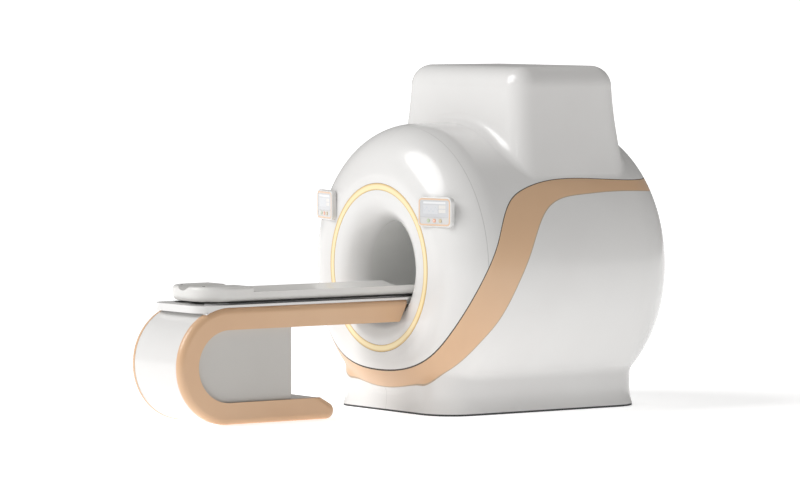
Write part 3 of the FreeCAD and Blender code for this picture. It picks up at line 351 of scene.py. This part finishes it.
# ------------------------------------------------------------------------------------------------
# Metalwork.  Anodised rails and brackets, brushed stainless on the vacuum vessel and the pulleys,
# and dark powder-coated steel for the base plate, cradle and carriers.
# ------------------------------------------------------------------------------------------------
anodised = Finish("anodised_aluminium", roughness=0.35, Metallic=1.0)
anodised.colour(anodised.blend(anodised.noise(8.0), rgb(0.62, 0.62, 0.63), rgb(0.54, 0.54, 0.55)))
anodised.rough(0.28 + anodised.noise(90.0, 3.0, (8, 0.2, 8)) * 0.2)
anodised.on("guide_rails", "bearing_blocks", "anchor_bolts", "cold_head", "belt_clamp")

stainless = Finish("brushed_stainless", roughness=0.3, Metallic=1.0)
stainless.colour(stainless.blend(stainless.noise(4.0), rgb(0.50, 0.50, 0.49), rgb(0.42, 0.42, 0.415)))
stainless.rough(0.26 + stainless.noise(70.0, 3.0, (0.3, 9, 9)) * 0.22)
stainless.on("vacuum_vessel", "service_neck", "drive_pulley", "idler_pulley")

dark_steel = Finish("dark_powder_coat", roughness=0.6)
dark_steel.colour(dark_steel.blend(dark_steel.noise(30.0),
                                   rgb(0.035, 0.035, 0.037), rgb(0.06, 0.06, 0.063)))
dark_steel.bump(dark_steel.noise(500.0), 0.0003, 0.5)
dark_steel.on("base_plate", "magnet_cradle", "table_floor_plate", "drive_motor", "cable_inlets",
              "light_ring_carrier", "rear_panel_backing", "cold_mass")

# ------------------------------------------------------------------------------------------------
# Control panels.  Thin white housings, each with a pale moulded face edged by a champagne line, a
# display behind glass, and three soft keys under it: sage, coral and khaki.
# ------------------------------------------------------------------------------------------------
PANEL_YAW = math.radians(14)
PANEL_HALF_WIDTH = 0.1215
TRIM_WIDTH = 0.009
TRIM_BLUR = 0.0006
FACE_CORNER = 0.025
FIELD_CORNER = 0.003

# Middle and half size of each field on the display, in metres from the middle of the face.
TITLE_BAR = (0, 0.055, 0.086, 0.006)
TRACE_FIELD = (-0.030, 0.015, 0.056, 0.026)
READOUTS = ((0.060, 0.031, 0.026, 0.010), (0.060, 0.006, 0.026, 0.010))
TRACE_HALF_LINE = 0.0013
TRACE_WAVES = ((190.0, 0.010), (71.0, 0.006))


def panel_place(finish, hand, side):
    """Across and up on one panel from the middle of its face, and half the height of the face."""
    low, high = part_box(f"panel_bezel_{hand}")
    middle = (low + high) / 2
    moved = finish.node("ShaderNodeVectorMath", {"operation": "SUBTRACT"},
                        {0: finish.place, 1: tuple(middle)})
    squared = finish.node("ShaderNodeMapping", {"vector_type": "POINT"},
                          {"Vector": moved, "Rotation": (0, 0, -side * PANEL_YAW)})
    return finish.part(squared, "X"), finish.part(squared, "Z"), (high.z - low.z) / 2


def outside_round_box(finish, across, up, half_w, half_h, corner):
    """How far a point is outside a rectangle with round corners; negative inside."""
    over_x = finish.larger(across.size() - (half_w - corner), 0.0)
    over_z = finish.larger(up.size() - (half_h - corner), 0.0)
    return (over_x * over_x + over_z * over_z).root() - corner


for side, hand in ((-1, "left"), (1, "right")):
    face = Finish(f"panel_face_{hand}", roughness=0.3, Coat_Weight=0.3)
    across, up, half_height = panel_place(face, hand, side)
    beyond = outside_round_box(face, across, up, PANEL_HALF_WIDTH, half_height, FACE_CORNER)
    pale = face.blend(face.noise(30.0), rgb(0.66, 0.655, 0.65), rgb(0.70, 0.695, 0.69))
    trim = face.blend(face.noise(400.0, 2.0), rgb(0.74, 0.50, 0.33), rgb(0.80, 0.58, 0.42))
    face.colour(face.blend(face.smooth(beyond, -TRIM_WIDTH - TRIM_BLUR, -TRIM_WIDTH), pale, trim))
    face.bump(face.noise(1200.0), 0.00005, 0.4)
    face.on(f"panel_bezel_{hand}")

    # The display: a title bar, a wide field with a trace across it, and two readouts.
    display = Finish(f"pale_display_{hand}", roughness=0.1, Emission_Strength=0.12, Coat_Weight=0.6)
    across, up, _ = panel_place(display, hand, side)
    clouds = display.noise(7.0, 2.0)
    ground = display.blend(clouds, rgb(0.50, 0.51, 0.53), rgb(0.57, 0.575, 0.59))

    def field(middle_x, middle_z, half_w, half_h):
        return outside_round_box(display, across - middle_x, up - middle_z, half_w, half_h,
                                 FIELD_CORNER) < 0

    bar = field(*TITLE_BAR)
    trace_field = field(*TRACE_FIELD)
    readouts = field(*READOUTS[0]) + field(*READOUTS[1])
    waves = [display.sine(across * pitch) * swing for pitch, swing in TRACE_WAVES]
    trace = ((up - TRACE_FIELD[1] - (waves[0] + waves[1])).size() < TRACE_HALF_LINE) * trace_field
    picture = display.blend(bar, ground, rgb(0.70, 0.71, 0.72))
    picture = display.blend(trace_field, picture, rgb(0.58, 0.59, 0.61))
    picture = display.blend(readouts, picture, rgb(0.66, 0.645, 0.62))
    picture = display.blend(trace, picture, rgb(0.46, 0.51, 0.56))
    display.colour(picture)
    display.feed(display.shader.inputs["Emission Color"], picture)
    display.on(f"panel_screen_glass_{hand}")

KEY_COLOURS = {"a": rgb(0.40, 0.47, 0.32), "b": rgb(0.70, 0.33, 0.20), "c": rgb(0.52, 0.43, 0.26)}
KEY_MARKS = {"a": (0.0011, 0.0045), "b": (0.0034, 0.0034), "c": (0.0045, 0.0011)}
KEY_HIGHLIGHT = 1.25

# Each key carries a pale mark: an upright bar, a square and a flat bar.
for letter, tint in KEY_COLOURS.items():
    lighter = rgb(*(KEY_HIGHLIGHT * channel for channel in tint[:3]))
    for hand in ("left", "right"):
        # Each key cap also glows faintly white. This is a painted glow, because the keys hold no
        # lamp.
        cap = Finish(f"key_cap_painted_glow_{hand}_{letter}", roughness=0.35, Emission_Strength=0.06)
        low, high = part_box(f"key_{hand}_{letter}")
        from_middle = cap.node("ShaderNodeVectorMath", {"operation": "SUBTRACT"},
                               {0: cap.place, 1: tuple((low + high) / 2)})
        half_w, half_h = KEY_MARKS[letter]
        mark = ((cap.part(from_middle, "X").size() < half_w)
                * (cap.part(from_middle, "Z").size() < half_h))
        soft = cap.blend(cap.noise(90.0), tint, lighter)
        cap.colour(cap.blend(mark, soft, rgb(0.86, 0.85, 0.82)))
        cap.bump(cap.noise(900.0), 0.0001, 0.4)
        cap.on(f"key_{hand}_{letter}")

# ------------------------------------------------------------------------------------------------
# Small metalwork.  A rolled steel eyelet lines each strap eye of the foot pad, and a circle of
# pan-head screws holds the rear panel to its backing.
# ------------------------------------------------------------------------------------------------
EYE_RADIUS = 0.007
EYE_INSET = 0.070
EYELET_WIRE = 0.0022
WIRE_SEGMENTS = 12
ROUND_SEGMENTS = 32
SCREW_COUNT = 12
SCREW_SEGMENTS = 24
SCREW_RADIUS = 0.007
SCREW_HEIGHT = 0.003
SCREW_EDGE = 0.4 * SCREW_HEIGHT
SCREW_INSET = 0.020

bright = Finish("bright_steel", roughness=0.25, Metallic=1.0)
bright.colour(bright.blend(bright.noise(200.0), rgb(0.58, 0.58, 0.57), rgb(0.68, 0.68, 0.67)))

pad_low, pad_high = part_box("foot_pad")
for side, hand in ((-1, "left"), (1, "right")):
    eyelet = bmesh.new()
    upright = Matrix.Translation((EYE_RADIUS, 0, 0)) @ Matrix.Rotation(math.pi / 2, 4, "X")
    bmesh.ops.create_circle(eyelet, segments=WIRE_SEGMENTS, radius=EYELET_WIRE, matrix=upright)
    bmesh.ops.spin(eyelet, geom=eyelet.verts[:] + eyelet.edges[:], cent=(0, 0, 0), axis=(0, 0, 1),
                   angle=2 * math.pi, steps=ROUND_SEGMENTS, use_merge=True)
    eye = Vector((side * (pad_high.x - pad_low.x) / 4, pad_low.y + EYE_INSET, pad_high.z))
    bmesh.ops.translate(eyelet, verts=eyelet.verts, vec=eye)
    add_mesh(f"strap_eyelet_{hand}", eyelet, bright, "tabletop")

panel_low, panel_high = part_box("rear_panel")
panel_middle = (panel_low + panel_high) / 2
circle = (panel_high.x - panel_low.x) / 2 - SCREW_INSET
for number in range(SCREW_COUNT):
    angle = 2 * math.pi * (number + 0.5) / SCREW_COUNT
    head = bmesh.new()
    bmesh.ops.create_cone(head, cap_ends=True, segments=SCREW_SEGMENTS, radius1=SCREW_RADIUS,
                          radius2=SCREW_RADIUS, depth=2 * SCREW_HEIGHT,
                          matrix=Matrix.Rotation(math.pi / 2, 4, "X"))
    rim = [edge for edge in head.edges if edge.verts[0].co.y * edge.verts[1].co.y > 0]
    bmesh.ops.bevel(head, geom=rim, offset=SCREW_EDGE, affect="EDGES", segments=2,
                    profile=0.5, material=-1)
    spot = Vector((circle * math.cos(angle), panel_high.y, panel_middle.z + circle * math.sin(angle)))
    bmesh.ops.translate(head, verts=head.verts, vec=spot)
    add_mesh(f"rear_panel_screw_{number + 1}", head, bright)
